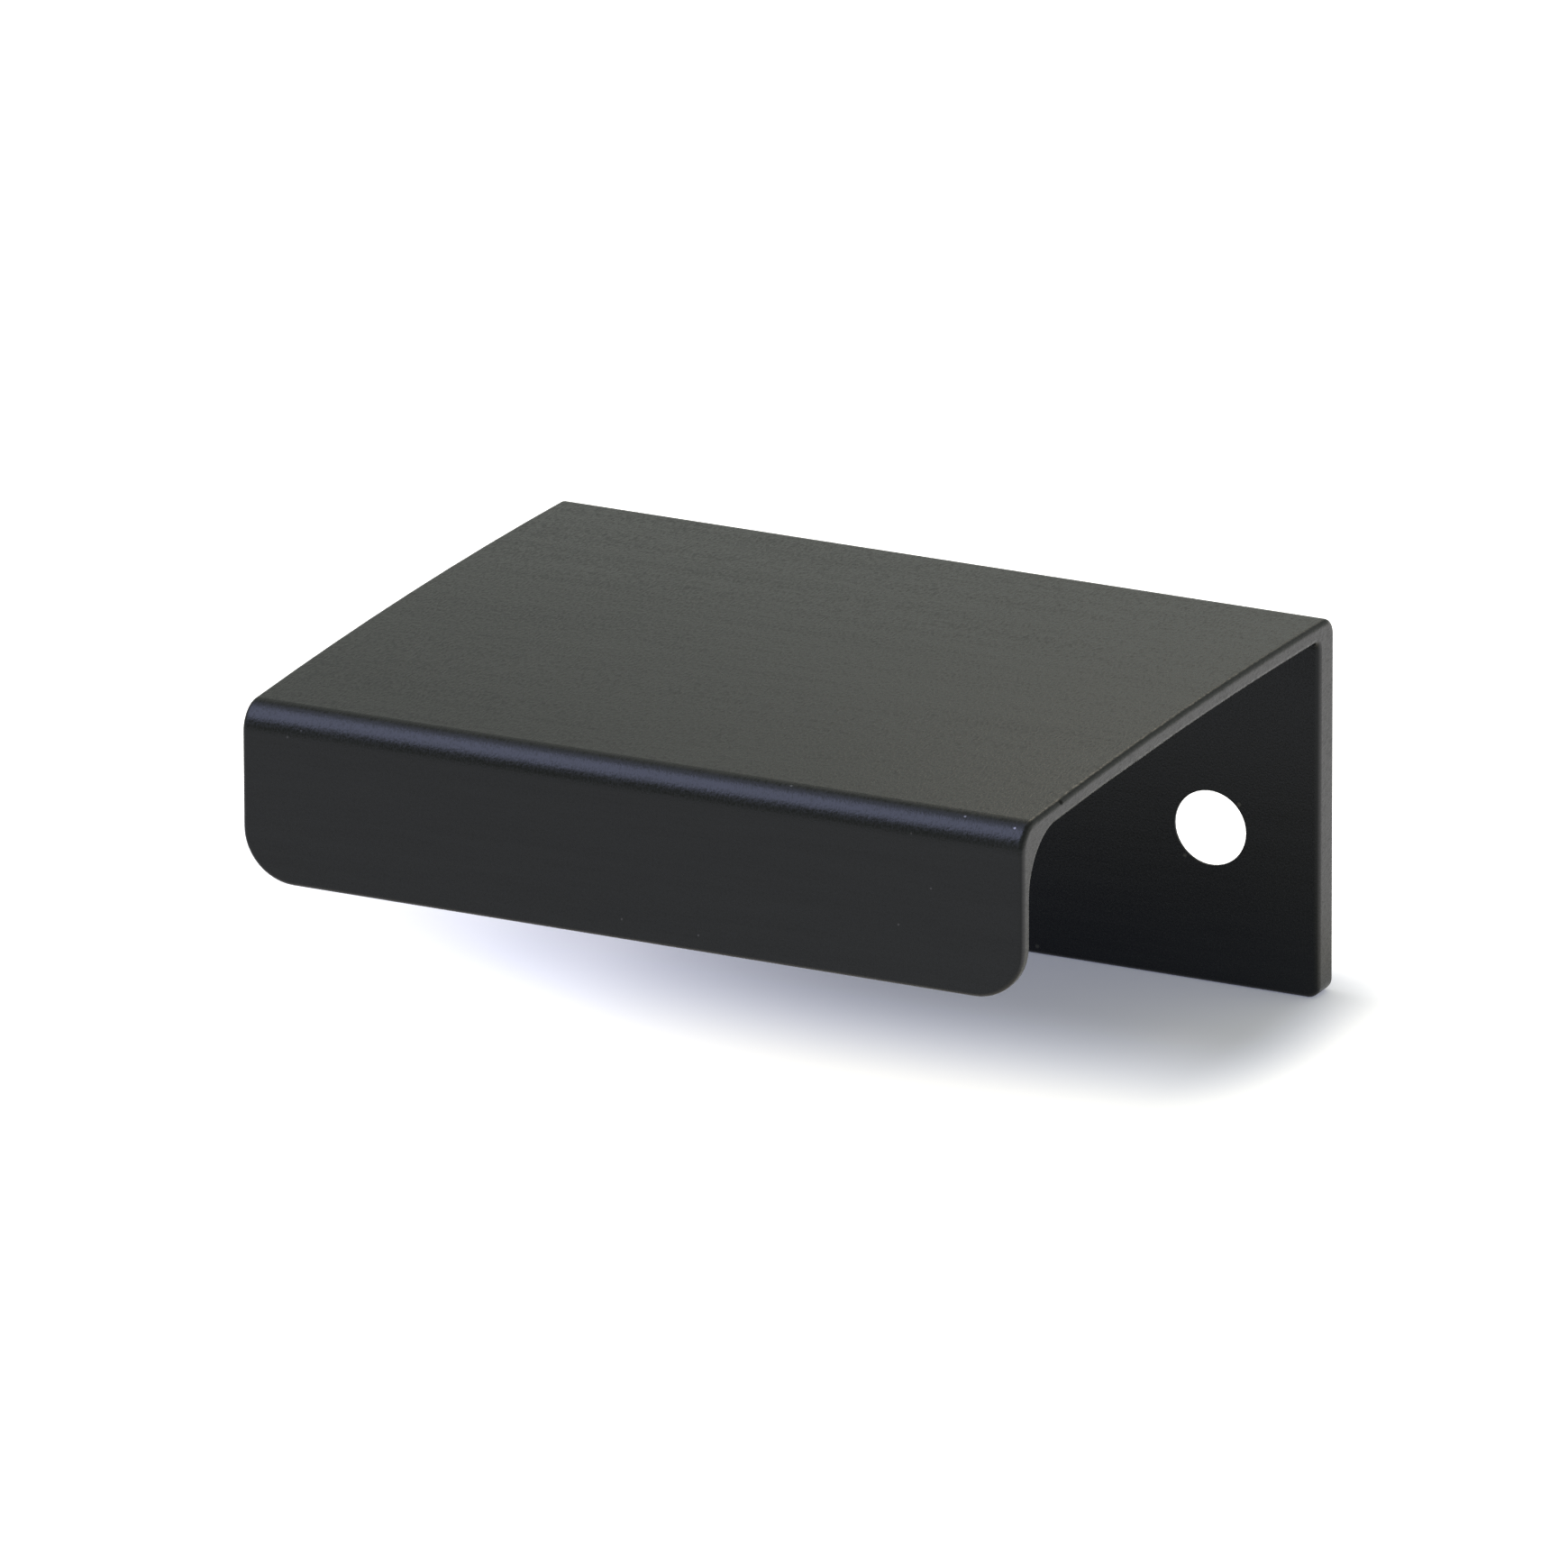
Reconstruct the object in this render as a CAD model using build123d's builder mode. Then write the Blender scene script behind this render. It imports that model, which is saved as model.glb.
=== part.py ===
"""Cabinet pull: a short length of aluminium profile that is screwed to the back of a door or drawer front.

The flange goes behind the door, the crowned top plate lies over the door's edge, and the lip hangs down
in front of it as the finger grip.

X runs along the door's edge, -Y points out of the cabinet and +Z is up. The origin is halfway between the
two screw holes, on the flange's inner face, which lies against the back of the door. All sizes are in
millimetres.
"""

import os
from math import radians, sqrt, tan

from build123d import *

# Overall sizes
length = 50.0
depth = 41.8
flange_height = 23.1
lip_height = 10.6

# Walls of the profile
flange_wall = 2.1
plate_wall = 1.15
lip_wall = 1.05

# The top plate rises in a shallow arc between its front and back edges
crown_rise = 0.43

# Bends of the profile: the front one is thickened inside, the back one is nearly square inside
front_bend_outer_radius = 1.7
front_bend_inner_radius = 3.5
back_bend_outer_radius = 1.1
back_bend_inner_radius = 0.5

# Cut ends: rounded lower corners, and a small edge break from tumbling
lip_corner_radius = 3.2
flange_corner_radius = 0.8
edge_break = 0.35

# Two screw holes in the flange, countersunk from the back for 4 mm countersunk screws
screw_hole_dia = 4.6
hole_end_distance = 7.0
hole_height = 9.6
countersink_angle = 90.0
countersink_land = 0.15

# Heights and depths that follow from the sizes above
flange_bottom = -hole_height
top_edge = flange_bottom + flange_height
lip_bottom = top_edge - lip_height
lip_front = flange_wall - depth
lip_back = lip_front + lip_wall
hole_spacing = length - 2 * hole_end_distance
countersink_dia = screw_hole_dia + 2 * (flange_wall - countersink_land) * tan(radians(countersink_angle / 2))

# The crown is an arc of one circle over the whole depth
crown_middle = lip_front + depth / 2
crown_radius = ((depth / 2) ** 2 + crown_rise**2) / (2 * crown_rise)
crown_centre_height = top_edge + crown_rise - crown_radius


def underside(y):
    """Height of the top plate's underside, one wall inside the crown's arc."""
    return crown_centre_height + sqrt((crown_radius - plate_wall) ** 2 - (y - crown_middle) ** 2)


with BuildPart() as cabinet_pull:
    # Section of the profile, looking along X: local x is the depth, local y is the height
    with BuildSketch(Plane.YZ) as section:
        with BuildLine():
            ThreePointArc(
                (lip_front, top_edge),
                (crown_middle, top_edge + crown_rise),
                (flange_wall, top_edge),
            )
            Polyline(
                (flange_wall, top_edge),
                (flange_wall, flange_bottom),
                (0, flange_bottom),
                (0, underside(0)),
            )
            ThreePointArc(
                (0, underside(0)),
                (crown_middle, underside(crown_middle)),
                (lip_back, underside(lip_back)),
            )
            Polyline(
                (lip_back, underside(lip_back)),
                (lip_back, lip_bottom),
                (lip_front, lip_bottom),
                (lip_front, top_edge),
            )
        make_face()
        bends = [
            ((lip_front, top_edge), front_bend_outer_radius),
            ((lip_back, underside(lip_back)), front_bend_inner_radius),
            ((flange_wall, top_edge), back_bend_outer_radius),
            ((0, underside(0)), back_bend_inner_radius),
        ]
        for corner, radius in bends:
            fillet(section.vertices().sort_by_distance(corner)[0], radius)
    extrude(amount=length / 2, both=True)

    # Rounded lower corners, seen from the front: the lip's edges are the second lowest, the flange's the lowest
    fillet(cabinet_pull.edges().filter_by(Axis.Y).group_by(Axis.Z)[1], lip_corner_radius)
    fillet(cabinet_pull.edges().filter_by(Axis.Y).group_by(Axis.Z)[0], flange_corner_radius)

    # Edge break all round the cut ends and along the two lower edges
    end_edges = cabinet_pull.faces().filter_by(Axis.X).edges().filter_by(Axis.Y, reverse=True)
    lower_edges = cabinet_pull.faces().filter_by(Axis.Z).edges().filter_by(Axis.X)
    fillet(end_edges + lower_edges, edge_break)

    # Screw holes, sunk from the flange's back face
    with Locations(Plane(origin=(0, flange_wall, 0), x_dir=(-1, 0, 0), z_dir=(0, 1, 0))):
        with GridLocations(hole_spacing, 0, 2, 1):
            CounterSinkHole(screw_hole_dia / 2, countersink_dia / 2, flange_wall, countersink_angle)

cabinet_pull.part.label = "cabinet_pull"

os.makedirs("parts", exist_ok=True)
export_step(cabinet_pull.part, "parts/cabinet_pull.step")
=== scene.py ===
"""Looks of a cabinet pull: a short black anodised aluminium profile on a white floor in soft studio light.

Everything is in metres, in the pull's own frame: +X along the pull, -Y out of the cabinet and +Z up, with the
origin halfway between the two screw holes, on the flange's inner face.
"""

import math
from typing import NamedTuple

import bpy
from bpy.props import FloatProperty, FloatVectorProperty, PointerProperty
from mathutils import Matrix, Vector


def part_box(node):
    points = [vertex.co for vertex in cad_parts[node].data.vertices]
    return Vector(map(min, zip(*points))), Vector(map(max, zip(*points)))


bl_info = {
    "name": "Cabinet Pull Looks",
    "version": (1, 0, 0),
    "blender": (4, 5, 0),
    "location": "3D View > Sidebar > Cabinet Pull",
    "description": "Gives an aluminium cabinet pull its anodised finish and sets it in a plain studio",
    "category": "Object",
}

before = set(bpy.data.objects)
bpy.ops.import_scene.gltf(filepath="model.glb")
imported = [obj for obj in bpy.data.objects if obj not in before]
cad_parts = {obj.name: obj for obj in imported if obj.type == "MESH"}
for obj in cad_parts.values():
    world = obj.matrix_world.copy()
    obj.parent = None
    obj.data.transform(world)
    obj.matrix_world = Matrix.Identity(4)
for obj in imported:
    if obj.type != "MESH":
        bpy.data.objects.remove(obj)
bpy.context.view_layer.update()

MM = 0.001
PULL = "cabinet_pull"


class LampPlace(NamedTuple):
    """Where a lamp stands round the point that it faces, in degrees and metres, and the size of its face.

    The azimuth counts from straight in front towards the pull's right end.
    """

    azimuth: float
    elevation: float
    distance: float
    width: float
    height: float


# The lamps and the point that they face
LIT_POINT = Vector((0, -20, 0)) * MM
KEY_PLACE = LampPlace(azimuth=-67, elevation=49, distance=0.8, width=1.02, height=0.95)
KEY_CENTRE_PLACE = LampPlace(azimuth=-55, elevation=53, distance=0.79, width=0.6, height=0.5)
BACKDROP_PLACE = LampPlace(azimuth=-169, elevation=38, distance=0.3, width=0.1, height=0.1)

# Noise mostly lies between these values
NOISE_RANGE = (0.25, 0.75)

# Share of the brush marks in the unevenness of the surface. The pits give the rest
BRUSHED_SHARE = 0.3

# How much longer the pits are drawn over the depth of the top, which the camera sees foreshortened
PIT_STRETCH = 2.5

# Part of the normal along X at which the painted reflection on a sawn end begins and is full, and along Z for
# a face that looks down
SAWN_REFLECTION_FACING = (0.6, 0.95)
DOWNWARD_REFLECTION_FACING = (-0.2, -0.6)

# Shares of a mark's radius up to which it is full, and beyond which it is gone
MARK_EDGE = (0.6, 1.2)

# Side of the square photograph in pixels, and the pixels where marks show, across and down from its top left
PHOTO_SIDE = 1740
PIT_IN_TOP = (1012, 711)
CHIP_IN_EDGE = (1177, 890)
NICKS_IN_BEND = ((878, 872), (1071, 906), (1126, 919))
SPECKS_ON_LIP = ((334, 811), (319, 818), (1011, 925), (1033, 986), (997, 1026), (690, 1020), (775, 1038))
SPECKS_ON_FLANGE = ((1151, 1050), (1315, 949), (1375, 893))

# Kinds of marks in the finish: where they show, their radius and colour
MARKS = (
    ((PIT_IN_TOP,), 0.11 * MM, "#0a0a0a"),
    ((CHIP_IN_EDGE,), 0.2 * MM, "#0c0c0c"),
    (NICKS_IN_BEND, 0.08 * MM, "#6e6e74"),
    (SPECKS_ON_LIP, 0.07 * MM, "#454547"),
    (SPECKS_ON_FLANGE, 0.13 * MM, "#484844"),
)

# Width of the camera's sensor in millimetres, and how far the camera sees in metres
SENSOR_WIDTH = 36.0
SIGHT = 10.0

# Sides of the painted shadow on the floor, outside which the floor glows white over the real shadow: an axis,
# where the shadow is still full and where it is gone
PAINTED_SHADOW_EDGES = (
    ("X", (-18 * MM, -60 * MM)),
    ("X", (23 * MM, 33 * MM)),
    ("Y", (-6.5 * MM, -28 * MM)),
    ("Y", (0 * MM, 9.5 * MM)),
)


def linear(hex_colour):
    """An sRGB colour such as #3a3b3d as linear red, green and blue."""
    shares = [int(hex_colour[i:i + 2], 16) / 255 for i in (1, 3, 5)]
    return tuple(s / 12.92 if s <= 0.04045 else ((s + 0.055) / 1.055) ** 2.4 for s in shares)


def add_node(tree, kind, settings=None, inputs=None):
    """Adds a node. Each input is given a plain value, or another node's output to link from."""
    node = tree.nodes.new(kind)
    for name, value in (settings or {}).items():
        setattr(node, name, value)
    for name, value in (inputs or {}).items():
        if isinstance(value, bpy.types.NodeSocket):
            tree.links.new(value, node.inputs[name])
        else:
            node.inputs[name].default_value = value
    return node


def new_material(name):
    """An empty node material and its tree."""
    material = bpy.data.materials.new(name)
    material.use_nodes = True
    material.node_tree.nodes.clear()
    return material, material.node_tree


def camera_place(stage):
    """Place and turn of the camera."""
    turn = Matrix.Rotation(stage.camera_azimuth, 4, "Z")
    tip = Matrix.Rotation(math.pi / 2 - stage.camera_elevation, 4, "X")
    roll = Matrix.Rotation(stage.camera_roll, 4, "Z")
    back = Matrix.Translation((0, 0, stage.camera_distance))
    return Matrix.Translation(stage.camera_target) @ turn @ tip @ roll @ back


def spot_at(pixel, context):
    """Point of the pull's surface that shows at a pixel of the photograph."""
    stage = context.scene.pull_stage
    place = camera_place(stage)
    pixel_size = SENSOR_WIDTH / PHOTO_SIDE
    across, down = [(along - PHOTO_SIDE / 2) * pixel_size for along in pixel]
    sight = place.to_3x3() @ Vector((across, -down, -stage.camera_lens)).normalized()
    found, spot, *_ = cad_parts[PULL].ray_cast(
        place.translation, sight, depsgraph=context.evaluated_depsgraph_get()
    )
    if not found:
        raise RuntimeError(f"The pull doesn't show at pixel {pixel}")
    return spot


class PullFinish(bpy.types.PropertyGroup):
    """The pull's finish: aluminium, brushed along its length and anodised black"""

    oxide_colour: FloatVectorProperty(
        name="Oxide colour",
        description="Colour of the dyed oxide layer, seen straight on",
        subtype="COLOR",
        min=0,
        max=1,
        default=linear("#2d2e2f"),
    )
    # Painted reflection: a paler colour on the sawn ends, which stands in for more of the floor's light
    # mirrored there
    sawn_reflection_colour: FloatVectorProperty(
        name="Sawn colour",
        description="Colour of the oxide on the sawn ends",
        subtype="COLOR",
        min=0,
        max=1,
        default=linear("#4b4b4c"),
    )
    # Painted reflection: a paler colour on the faces that look down, which stands in for the bright floor
    # mirrored in them
    downward_reflection_colour: FloatVectorProperty(
        name="Trimmed colour",
        description="Colour of the oxide on the trimmed lower edges and on the underside",
        subtype="COLOR",
        min=0,
        max=1,
        default=linear("#3e3d3a"),
    )
    roughness: FloatProperty(
        name="Roughness",
        description="Roughness of the satin surface",
        subtype="FACTOR",
        min=0,
        max=1,
        default=0.3,
    )
    streak_contrast: FloatProperty(
        name="Streak contrast",
        description="How far brush marks move the oxide's brightness either way, as a share of it",
        subtype="FACTOR",
        min=0,
        max=1,
        default=0.15,
    )
    speckle_contrast: FloatProperty(
        name="Speckle contrast",
        description="How far pits move the brightness either way, as a share of it",
        subtype="FACTOR",
        min=0,
        max=1,
        default=0.25,
    )
    unevenness: FloatProperty(
        name="Unevenness",
        description="How far pits and brush marks move the roughness either way",
        subtype="FACTOR",
        min=0,
        max=1,
        default=0.21,
    )
    grain_length: FloatProperty(
        name="Grain length",
        description="Length of a brush mark",
        unit="LENGTH",
        default=14 * MM,
    )
    grain_width: FloatProperty(
        name="Grain width",
        description="Width of a brush mark",
        unit="LENGTH",
        default=0.9 * MM,
    )
    grit: FloatProperty(
        name="Grit",
        description="Size at which the pits of the etch are drawn, coarser than the real ones",
        unit="LENGTH",
        default=0.13 * MM,
    )
    pit_depth: FloatProperty(
        name="Pit depth",
        description="Depth of those pits",
        unit="LENGTH",
        default=0.013 * MM,
    )


class PullStage(bpy.types.PropertyGroup):
    """The floor, the lamps and the camera"""

    floor_colour: FloatVectorProperty(
        name="Floor colour",
        description="Colour of the white floor",
        subtype="COLOR",
        min=0,
        max=1,
        default=linear("#eae6da"),
    )
    # Painted light: a glow for the camera outside the painted shadow, which also hides the real shadow there
    floor_lift: FloatProperty(
        name="Floor lift",
        description="What overexposure adds to the floor outside the shadow, where 1 is white",
        default=1.0,
    )
    glare_colour: FloatVectorProperty(
        name="Glare colour",
        description="Colour of that overexposure, a little warm against the cool lamps",
        subtype="COLOR",
        min=0,
        max=1,
        default=linear("#fffdf8"),
    )
    # Painted light: a glow that the floor emits inside the painted shadow, which lightens the real shadow
    # there
    painted_shadow_glow: FloatProperty(
        name="Shadow lift",
        description="What stray light adds to the floor in the pull's shadow, where 1 is white",
        default=0.21,
    )
    mirrored_lift: FloatProperty(
        name="Mirrored lift",
        description="What is added to the floor where the pull mirrors it, where 1 is white",
        default=0.27,
    )
    # Painted shade: the bluish tint of that glow inside the painted shadow
    painted_shadow_colour: FloatVectorProperty(
        name="Shadow colour",
        description="Colour of the stray light in the shadow",
        subtype="COLOR",
        min=0,
        max=1,
        default=linear("#d4dcfc"),
    )
    floor_width: FloatProperty(
        name="Floor width",
        description="Side of the square floor",
        unit="LENGTH",
        default=6.0,
    )
    key_colour: FloatVectorProperty(
        name="Key colour",
        description="Colour of the large softbox in front, to the left",
        subtype="COLOR",
        min=0,
        max=1,
        default=linear("#d2d6ff"),
    )
    key_brightness: FloatProperty(
        name="Key brightness",
        description="Brightness of the large softbox's face, where 1 is white",
        default=1.17,
    )
    key_centre_brightness: FloatProperty(
        name="Key centre brightness",
        description="What the bulb adds to the brightness of the middle of the large softbox",
        default=3.0,
    )
    backdrop_colour: FloatVectorProperty(
        name="Backdrop colour",
        description="Colour of the small, lit backdrop behind the pull",
        subtype="COLOR",
        min=0,
        max=1,
        default=linear("#fff0d8"),
    )
    backdrop_brightness: FloatProperty(
        name="Backdrop brightness",
        description="Brightness of the lit backdrop, where 1 is white",
        default=1.7,
    )
    room_colour: FloatVectorProperty(
        name="Room colour",
        description="Colour of the light that the room throws back from all sides",
        subtype="COLOR",
        min=0,
        max=1,
        default=linear("#cbcfc8"),
    )
    camera_azimuth: FloatProperty(
        name="Camera azimuth",
        description="Angle of the camera round the pull, from straight in front towards its right end",
        subtype="ANGLE",
        default=math.radians(26.283),
    )
    camera_elevation: FloatProperty(
        name="Camera elevation",
        description="Angle of the camera above the floor",
        subtype="ANGLE",
        default=math.radians(19.266),
    )
    camera_roll: FloatProperty(
        name="Camera roll",
        description="Turn of the camera about its own axis",
        subtype="ANGLE",
        default=math.radians(-0.199),
    )
    camera_distance: FloatProperty(
        name="Camera distance",
        description="Distance of the camera from the point that it looks at",
        unit="LENGTH",
        default=1.55987,
    )
    camera_target: FloatVectorProperty(
        name="Camera target",
        description="Point that the camera looks at",
        subtype="XYZ",
        unit="LENGTH",
        default=(-0.87 * MM, -17.94 * MM, 5.508 * MM),
    )
    camera_lens: FloatProperty(
        name="Camera lens",
        description="Focal length in millimetres",
        unit="CAMERA",
        default=617.4,
    )


def black_anodised_aluminium(finish, marks):
    """Aluminium, brushed along its length, etched and anodised black.

    A dark satin metal with a fine speckle and faint streaks. The sawn ends and the faces that look down are
    painted paler, a painted reflection of the bright floor. A few pits stay dark, and a few nicks catch the
    light.
    """
    material, tree = new_material("black anodised aluminium")
    place = add_node(tree, "ShaderNodeTexCoord")
    stretched = add_node(
        tree,
        "ShaderNodeMapping",
        inputs={
            "Vector": place.outputs["Object"],
            "Scale": (1 / finish.grain_length, 1 / finish.grain_width, 1 / finish.grain_width),
        },
    )
    grain = add_node(
        tree,
        "ShaderNodeTexNoise",
        inputs={"Vector": stretched.outputs["Vector"], "Scale": 1.0, "Detail": 5.0, "Roughness": 0.7},
    )
    # Real pits are too fine to show, so they are drawn several times coarser
    drawn_out = add_node(
        tree,
        "ShaderNodeMapping",
        inputs={
            "Vector": place.outputs["Object"],
            "Scale": (1 / finish.grit, 1 / (PIT_STRETCH * finish.grit), 1 / finish.grit),
        },
    )
    pits = add_node(
        tree,
        "ShaderNodeTexNoise",
        inputs={"Vector": drawn_out.outputs["Vector"], "Scale": 1.0, "Detail": 1.0},
    )
    brushed_colour = add_node(
        tree,
        "ShaderNodeMix",
        settings={"data_type": "RGBA"},
        inputs={
            "Factor": grain.outputs["Fac"],
            "A": (*[(1 - finish.streak_contrast) * c for c in finish.oxide_colour], 1),
            "B": (*[(1 + finish.streak_contrast) * c for c in finish.oxide_colour], 1),
        },
    )
    facing = add_node(tree, "ShaderNodeSeparateXYZ", inputs={"Vector": place.outputs["Normal"]})
    sideways = add_node(
        tree, "ShaderNodeMath", settings={"operation": "ABSOLUTE"}, inputs={0: facing.outputs["X"]}
    )
    colour = brushed_colour.outputs["Result"]
    # Painted reflection: the sawn ends and the faces that look down are mixed towards paler colours, as if
    # they mirrored the bright floor
    for normal, (begun, full), painted_reflection_colour in (
        (sideways.outputs["Value"], SAWN_REFLECTION_FACING, finish.sawn_reflection_colour),
        (facing.outputs["Z"], DOWNWARD_REFLECTION_FACING, finish.downward_reflection_colour),
    ):
        painted_reflection_mask = add_node(
            tree,
            "ShaderNodeMapRange",
            inputs={"Value": normal, "From Min": begun, "From Max": full},
        )
        colour = add_node(
            tree,
            "ShaderNodeMix",
            settings={"data_type": "RGBA"},
            inputs={"Factor": painted_reflection_mask.outputs["Result"], "A": colour, "B": (*painted_reflection_colour, 1)},
        ).outputs["Result"]
    for spot, radius, shade in marks:
        away = add_node(
            tree,
            "ShaderNodeVectorMath",
            settings={"operation": "DISTANCE"},
            inputs={0: place.outputs["Object"], 1: spot},
        )
        mark = add_node(
            tree,
            "ShaderNodeMapRange",
            inputs={
                "Value": away.outputs["Value"],
                "From Min": MARK_EDGE[0] * radius,
                "From Max": MARK_EDGE[1] * radius,
                "To Min": 1.0,
                "To Max": 0.0,
            },
        )
        colour = add_node(
            tree,
            "ShaderNodeMix",
            settings={"data_type": "RGBA"},
            inputs={"Factor": mark.outputs["Result"], "A": colour, "B": (*linear(shade), 1)},
        ).outputs["Result"]
    speckle = add_node(
        tree,
        "ShaderNodeMapRange",
        inputs={
            "Value": pits.outputs["Fac"],
            "To Min": 1 - finish.speckle_contrast,
            "To Max": 1 + finish.speckle_contrast,
        },
    )
    speckled_colour = add_node(
        tree,
        "ShaderNodeVectorMath",
        settings={"operation": "SCALE"},
        inputs={0: colour, "Scale": speckle.outputs["Result"]},
    )
    unevenness = add_node(
        tree,
        "ShaderNodeMix",
        inputs={"Factor": BRUSHED_SHARE, "A": pits.outputs["Fac"], "B": grain.outputs["Fac"]},
    )
    roughness = add_node(
        tree,
        "ShaderNodeMapRange",
        inputs={
            "Value": unevenness.outputs["Result"],
            "From Min": NOISE_RANGE[0],
            "From Max": NOISE_RANGE[1],
            "To Min": finish.roughness - finish.unevenness,
            "To Max": finish.roughness + finish.unevenness,
        },
    )
    bump = add_node(
        tree,
        "ShaderNodeBump",
        inputs={"Height": pits.outputs["Fac"], "Strength": 1.0, "Distance": finish.pit_depth},
    )
    shader = add_node(
        tree,
        "ShaderNodeBsdfPrincipled",
        inputs={
            "Base Color": speckled_colour.outputs["Vector"],
            "Metallic": 1.0,
            "Roughness": roughness.outputs["Result"],
            "Normal": bump.outputs["Normal"],
        },
    )
    add_node(tree, "ShaderNodeOutputMaterial", inputs={"Surface": shader.outputs["BSDF"]})
    return material


def white_floor_paint(stage):
    """Matt white paint that glows to pure white for the camera, like an overexposed floor, but for a painted
    shadow at the pull's foot, where the glow drops to a faint bluish tint over the real shadow.
    """
    material, tree = new_material("white floor paint")
    place = add_node(tree, "ShaderNodeTexCoord")
    across = add_node(tree, "ShaderNodeSeparateXYZ", inputs={"Vector": place.outputs["Object"]})
    # Painted shadow: a soft rectangle at the pull's foot, inside which the floor's white glow drops
    shadow = 1.0
    for axis, (full, gone) in PAINTED_SHADOW_EDGES:
        side = add_node(
            tree,
            "ShaderNodeMapRange",
            settings={"interpolation_type": "SMOOTHSTEP"},
            inputs={
                "Value": across.outputs[axis],
                "From Min": full,
                "From Max": gone,
                "To Min": 1.0,
                "To Max": 0.0,
            },
        )
        shadow = add_node(
            tree,
            "ShaderNodeMath",
            settings={"operation": "MULTIPLY"},
            inputs={0: shadow, 1: side.outputs["Result"]},
        ).outputs["Value"]
    seen = add_node(
        tree,
        "ShaderNodeMapRange",
        inputs={"Value": shadow, "To Min": stage.floor_lift, "To Max": stage.painted_shadow_glow},
    )
    rays = add_node(tree, "ShaderNodeLightPath")
    mirrored = add_node(
        tree,
        "ShaderNodeMath",
        settings={"operation": "MAXIMUM"},
        inputs={0: rays.outputs["Is Glossy Ray"], 1: rays.outputs["Is Transmission Ray"]},
    )
    mirrored_lift = add_node(
        tree,
        "ShaderNodeMath",
        settings={"operation": "MULTIPLY"},
        inputs={0: mirrored.outputs["Value"], 1: stage.mirrored_lift},
    )
    lift = add_node(
        tree,
        "ShaderNodeMath",
        settings={"operation": "MULTIPLY_ADD"},
        inputs={
            0: rays.outputs["Is Camera Ray"],
            1: seen.outputs["Result"],
            2: mirrored_lift.outputs["Value"],
        },
    )
    lift_colour = add_node(
        tree,
        "ShaderNodeMix",
        settings={"data_type": "RGBA"},
        inputs={"Factor": shadow, "A": (*stage.glare_colour, 1), "B": (*stage.painted_shadow_colour, 1)},
    )
    shader = add_node(
        tree,
        "ShaderNodeBsdfPrincipled",
        inputs={
            "Base Color": (*stage.floor_colour, 1),
            "Roughness": 1.0,
            "Specular IOR Level": 0.0,
            "Emission Color": lift_colour.outputs["Result"],
            "Emission Strength": lift.outputs["Value"],
        },
    )
    add_node(tree, "ShaderNodeOutputMaterial", inputs={"Surface": shader.outputs["BSDF"]})
    return material


class PULL_OT_finish(bpy.types.Operator):
    """Give the cabinet pull its black anodised finish"""

    bl_idname = "pull.finish"
    bl_label = "Finish the Pull"

    def execute(self, context):
        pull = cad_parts[PULL]
        marks = [
            (spot_at(pixel, context), radius, shade)
            for pixels, radius, shade in MARKS
            for pixel in pixels
        ]
        pull.data.materials.clear()
        pull.data.materials.append(black_anodised_aluminium(context.scene.pull_finish, marks))
        return {"FINISHED"}


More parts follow.
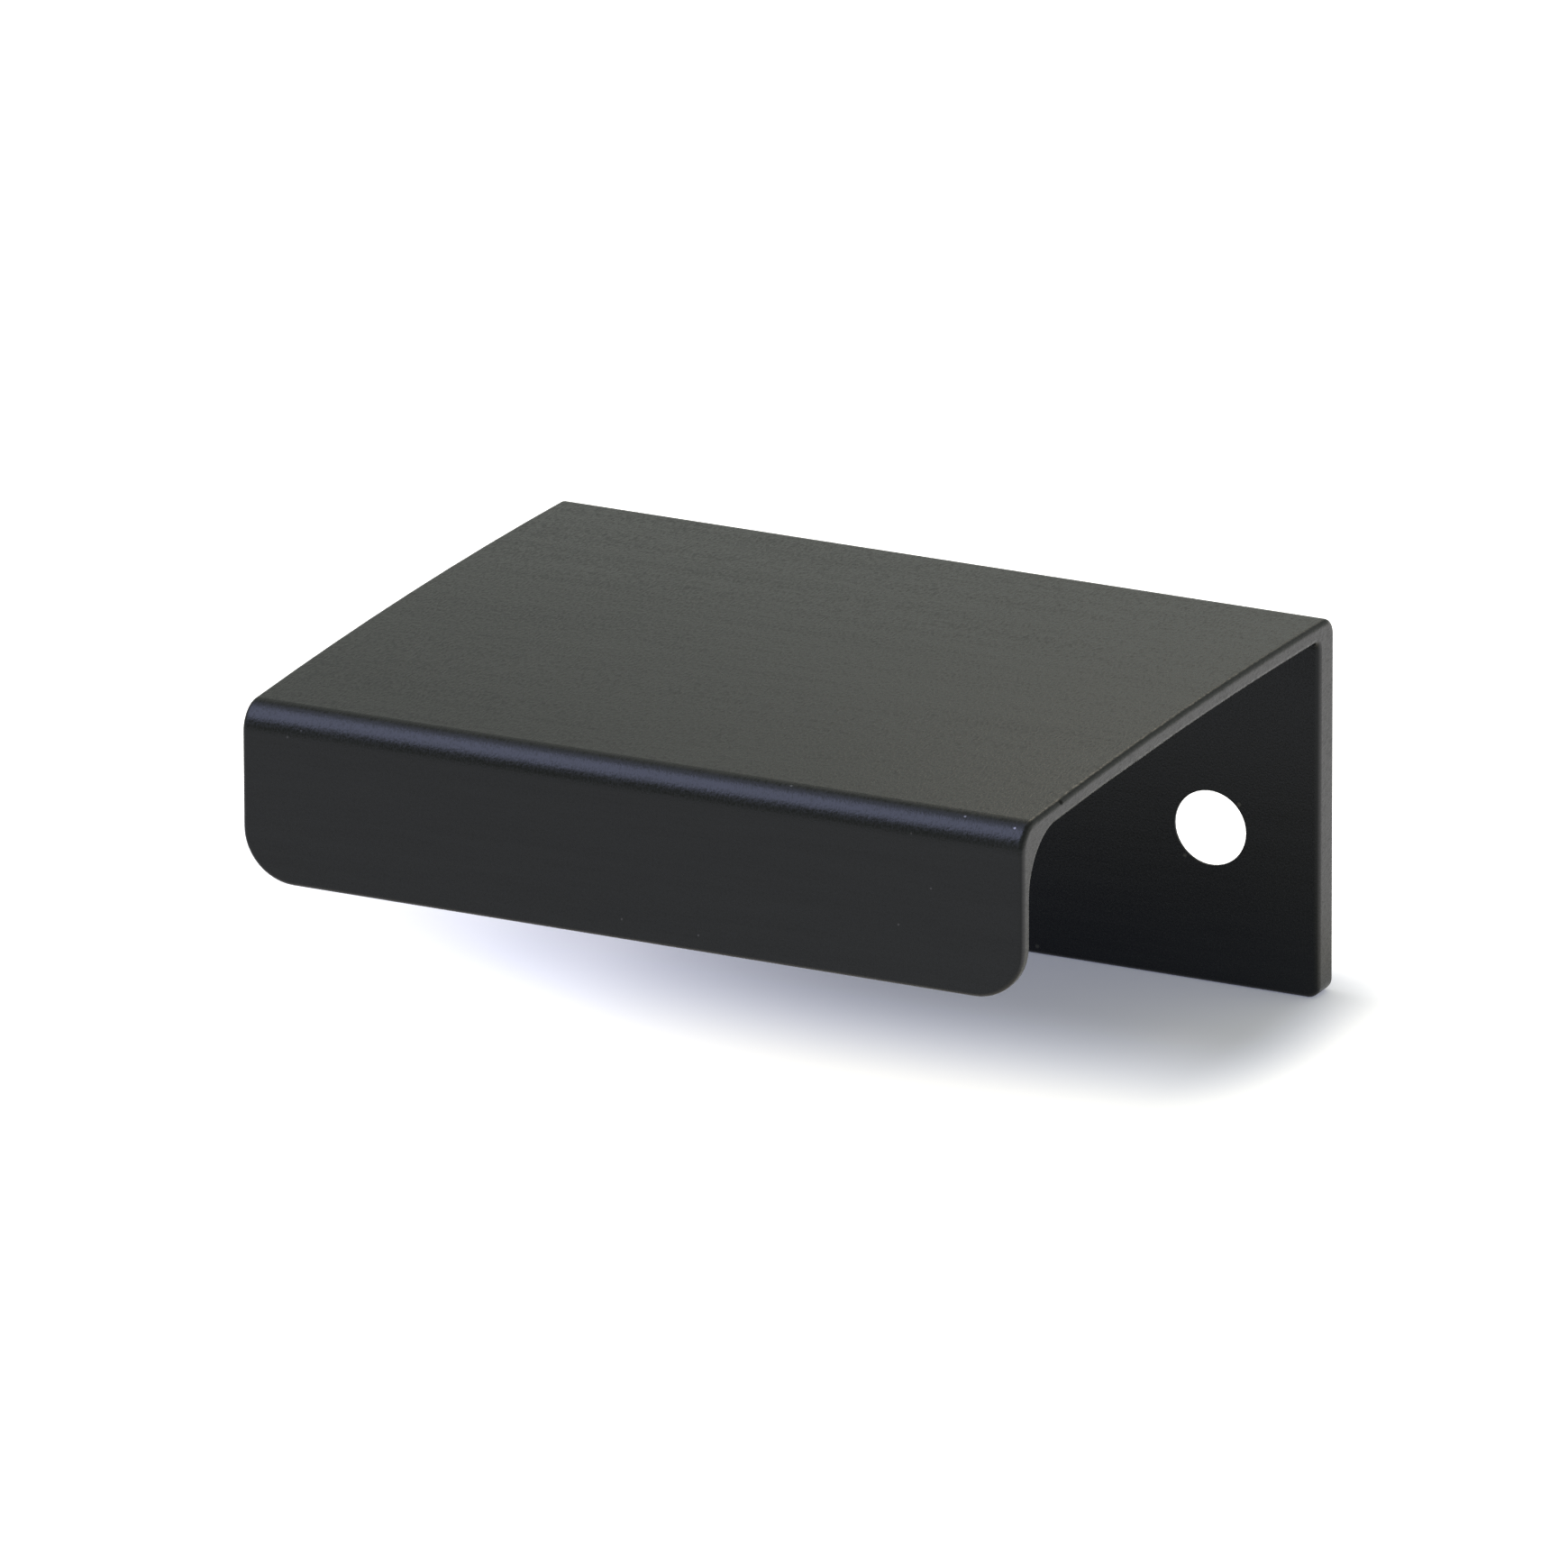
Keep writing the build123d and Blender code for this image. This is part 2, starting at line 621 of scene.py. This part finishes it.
class PULL_OT_stage(bpy.types.Operator):
    """Set up the white floor, the soft light and the camera"""

    bl_idname = "pull.stage"
    bl_label = "Set Up the Stage"

    def execute(self, context):
        stage = context.scene.pull_stage
        self.add_floor(context, stage)
        self.add_lights(context, stage)
        self.add_camera(context, stage)
        context.scene.view_settings.view_transform = "Standard"
        return {"FINISHED"}

    def add_floor(self, context, stage):
        """A flat square under the flange's foot."""
        half = stage.floor_width / 2
        floor_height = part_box(PULL)[0].z
        mesh = bpy.data.meshes.new("floor")
        corners = [(x * half, y * half, floor_height) for x, y in ((-1, -1), (1, -1), (1, 1), (-1, 1))]
        mesh.from_pydata(corners, [], [(0, 1, 2, 3)])
        mesh.materials.append(white_floor_paint(stage))
        floor = bpy.data.objects.new("floor", mesh)
        context.scene.collection.objects.link(floor)

    def add_lights(self, context, stage):
        """A large cool softbox to the left, brightest in its middle, a warm backdrop and a grey room."""
        for name, colour, brightness, place in (
            ("key softbox", stage.key_colour, stage.key_brightness, KEY_PLACE),
            ("key centre", stage.key_colour, stage.key_centre_brightness, KEY_CENTRE_PLACE),
            ("lit backdrop", stage.backdrop_colour, stage.backdrop_brightness, BACKDROP_PLACE),
        ):
            self.add_lamp(context, name, colour, brightness, place)

        world = bpy.data.worlds.new("room")
        world.use_nodes = True
        world.node_tree.nodes.clear()
        room = add_node(
            world.node_tree,
            "ShaderNodeBackground",
            inputs={"Color": (*stage.room_colour, 1), "Strength": 1.0},
        )
        add_node(world.node_tree, "ShaderNodeOutputWorld", inputs={"Surface": room.outputs["Background"]})
        context.scene.world = world

    def add_lamp(self, context, name, colour, brightness, place):
        """A flat lamp that faces the pull. Its energy follows from its brightness and its area."""
        face = bpy.data.lights.new(name, "AREA")
        face.shape = "RECTANGLE"
        face.size = place.width
        face.size_y = place.height
        face.color = colour
        face.energy = brightness * math.pi * place.width * place.height
        lamp = bpy.data.objects.new(name, face)
        turn = Matrix.Rotation(math.radians(place.azimuth), 4, "Z")
        tip = Matrix.Rotation(math.radians(90 - place.elevation), 4, "X")
        back = Matrix.Translation((0, 0, place.distance))
        lamp.matrix_world = Matrix.Translation(LIT_POINT) @ turn @ tip @ back
        context.scene.collection.objects.link(lamp)

    def add_camera(self, context, stage):
        """A long lens, so that the pull's parallel edges stay nearly parallel."""
        lens = bpy.data.cameras.new("camera")
        lens.lens = stage.camera_lens
        lens.sensor_width = SENSOR_WIDTH
        lens.clip_end = SIGHT
        camera = bpy.data.objects.new("camera", lens)
        camera.matrix_world = camera_place(stage)
        context.scene.collection.objects.link(camera)
        context.scene.camera = camera


class PULL_PT_sidebar(bpy.types.Panel):
    """Steps that dress the cabinet pull, in order"""

    bl_idname = "PULL_PT_sidebar"
    bl_label = "Cabinet Pull"
    bl_space_type = "VIEW_3D"
    bl_region_type = "UI"
    bl_category = "Cabinet Pull"

    def draw(self, context):
        for group, operator in (
            (context.scene.pull_finish, PULL_OT_finish),
            (context.scene.pull_stage, PULL_OT_stage),
        ):
            for name in group.__annotations__:
                self.layout.prop(group, name)
            self.layout.operator(operator.bl_idname)


CLASSES = (PullFinish, PullStage, PULL_OT_finish, PULL_OT_stage, PULL_PT_sidebar)


def register():
    for cls in CLASSES:
        bpy.utils.register_class(cls)
    bpy.types.Scene.pull_finish = PointerProperty(type=PullFinish)
    bpy.types.Scene.pull_stage = PointerProperty(type=PullStage)


def unregister():
    del bpy.types.Scene.pull_stage
    del bpy.types.Scene.pull_finish
    for cls in reversed(CLASSES):
        bpy.utils.unregister_class(cls)


def main():
    register()
    bpy.ops.pull.finish()
    bpy.ops.pull.stage()


if __name__ == "__main__":
    main()
